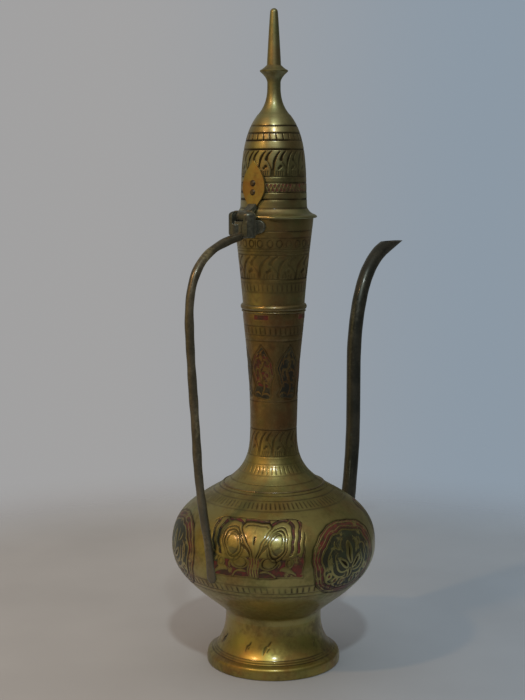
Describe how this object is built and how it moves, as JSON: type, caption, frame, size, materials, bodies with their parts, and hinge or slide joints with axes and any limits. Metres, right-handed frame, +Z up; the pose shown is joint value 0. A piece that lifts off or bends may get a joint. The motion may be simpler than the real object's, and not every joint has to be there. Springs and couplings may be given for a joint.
{
  "type": "coffee pot",
  "caption": "Tall brass dallah ewer on a flared foot: round belly, long slim neck, hinged domed lid with spire finial, bent rod handle and swan-neck spout.",
  "frame": {"origin": "centre of the foot, on the surface it stands on", "axes": "+Z up along the pot's axis, handle and lid hinge towards -X, spout towards +X"},
  "size_m": [0.2086, 0.1136, 0.36],
  "materials": {
    "engraved_brass": "aged, engraved and enamelled",
    "turned_brass": "turned, aged satin",
    "patinated_brass": "dark brown patina"
  },
  "bodies": {
    "pot": {"foot": "engraved_brass", "lower_bowl": "engraved_brass", "shoulder": "engraved_brass", "neck_root_wire": "turned_brass", "neck": "engraved_brass", "neck_collar": "turned_brass", "throat": "engraved_brass", "hinge_pin": "patinated_brass", "hinge_bracket": "patinated_brass", "neck_saddle": "patinated_brass", "handle": "patinated_brass", "spout": "patinated_brass", "spout_collar": "patinated_brass"},
    "lid": {"lid_dome": "engraved_brass", "lid_sleeve": "turned_brass", "finial": "turned_brass", "finial_washer": "patinated_brass", "finial_nut": "patinated_brass", "hinge_leaf": "turned_brass", "leaf_rivets": "patinated_brass"}
  },
  "joints": [
    {"name": "lid_hinge", "type": "hinge", "parent": "pot", "child": "lid", "pos_m": [-0.0272, 0, 0.2501], "axis": [0, -1, 0], "range_deg": [0, 105]}
  ]
}
